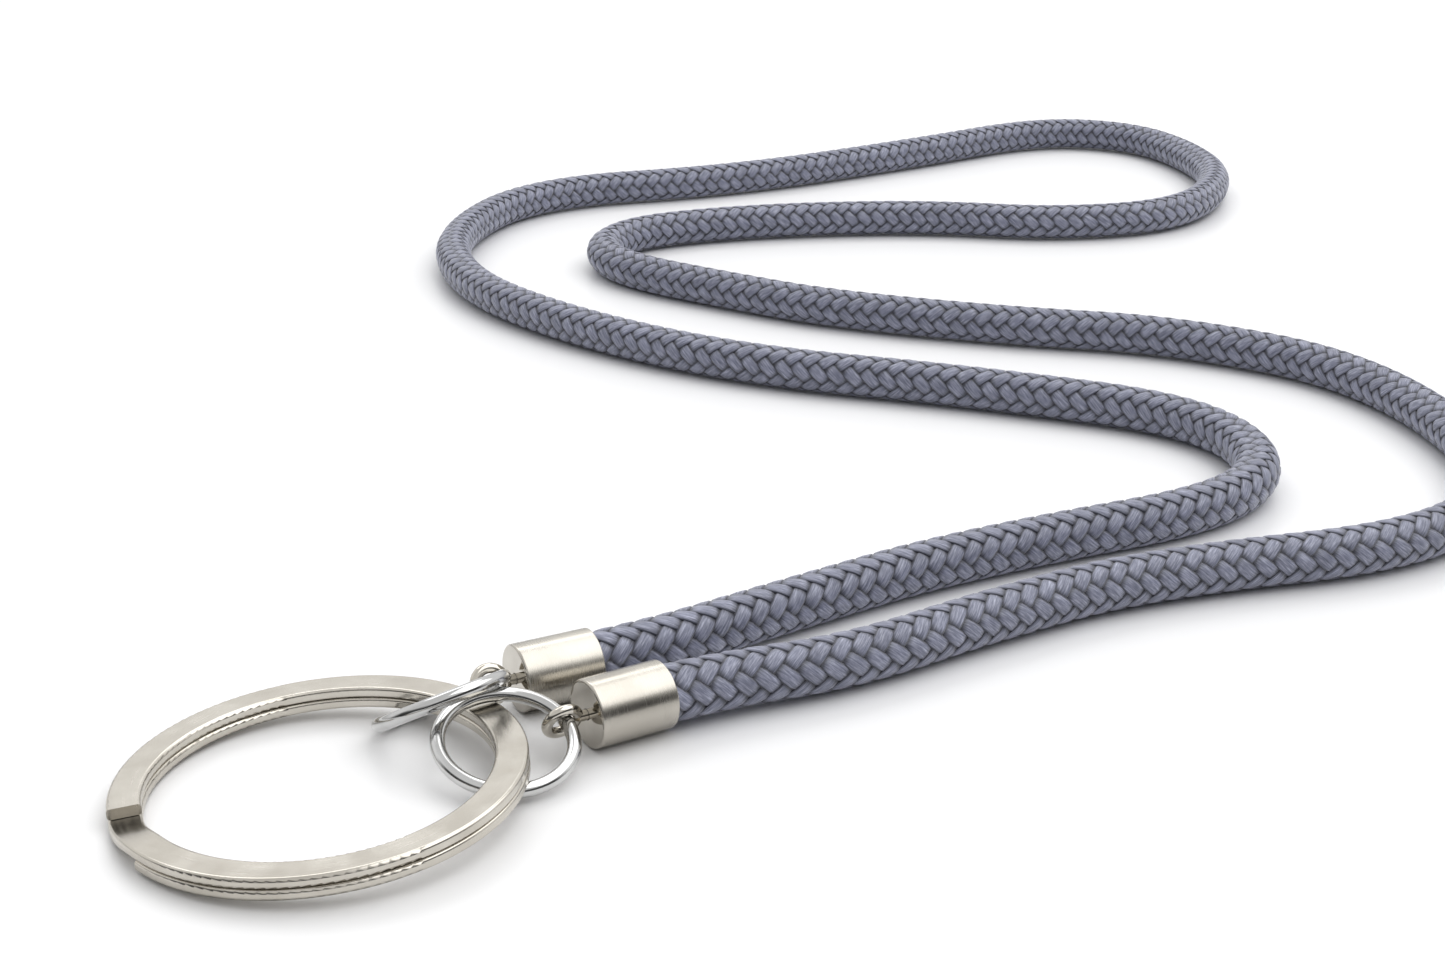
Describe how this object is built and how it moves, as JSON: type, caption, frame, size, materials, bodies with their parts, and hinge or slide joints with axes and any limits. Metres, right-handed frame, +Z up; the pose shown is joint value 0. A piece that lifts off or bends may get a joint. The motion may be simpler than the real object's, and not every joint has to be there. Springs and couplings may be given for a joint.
{
  "type": "braided cord key lanyard",
  "caption": "Loop of round braided cord whose capped ends hang, through wire eyes and jump rings, from one split key ring.",
  "frame": {"origin": "centre of the box round the metal parts, on the table", "axes": "+X from the key ring towards the cups, +Y to the back where the cord loop lies, +Z up from the table"},
  "size_m": [0.1291, 0.2444, 0.0068],
  "materials": {
    "nickel_strip": "polished nickel plate with fine brush lines",
    "bright_wire": "bright nickel plate",
    "nickel_wire": "polished nickel plate",
    "brushed_cup": "nickel plate with fine turned lines",
    "adhesive": "cured clear adhesive",
    "blue_grey_braid": "satin braided polyester",
    "core_yarn": "plain core yarn"
  },
  "bodies": {
    "lanyard": {"cord_sheath": "blue_grey_braid", "cord_core": "core_yarn", "glue_front": "adhesive", "glue_rear": "adhesive", "end_cap_front": "brushed_cup", "end_cap_rear": "brushed_cup"},
    "front_eye": {"eye_pin_front": "nickel_wire"},
    "rear_eye": {"eye_pin_rear": "nickel_wire"},
    "front_jump_ring": {"jump_ring_front": "bright_wire"},
    "split_ring": {"key_ring": "nickel_strip"},
    "rear_jump_ring": {"jump_ring_rear": "bright_wire"}
  },
  "joints": [
    {"name": "rings_lift", "type": "hinge", "parent": "lanyard", "child": "front_jump_ring", "pos_m": [0.01235, 0.005, 0.0029], "axis": [-0.6936, 0.7203, 0], "range_deg": [0, 20]},
    {"name": "split_ring_turn", "type": "hinge", "parent": "front_jump_ring", "child": "split_ring", "pos_m": [-0.00558, -0.00264, 0.001], "axis": [-0.062, -0.006, 0.9981], "continuous": true},
    {"name": "rear_jump_ring_turn", "type": "hinge", "parent": "front_jump_ring", "child": "rear_jump_ring", "pos_m": [0.00247, 0.00758, 0.00341], "axis": [-0.3629, 0.3757, 0.8527], "continuous": true},
    {"name": "front_eye_swivel", "type": "hinge", "parent": "lanyard", "child": "front_eye", "pos_m": [0.01422, 0.00615, 0.0029], "axis": [-0.8511, -0.5251, 0], "range_deg": [-5, 5]},
    {"name": "rear_eye_swivel", "type": "hinge", "parent": "lanyard", "child": "rear_eye", "pos_m": [0.00795, 0.01262, 0.0029], "axis": [-0.8821, -0.4711, 0], "range_deg": [-5, 5]}
  ]
}
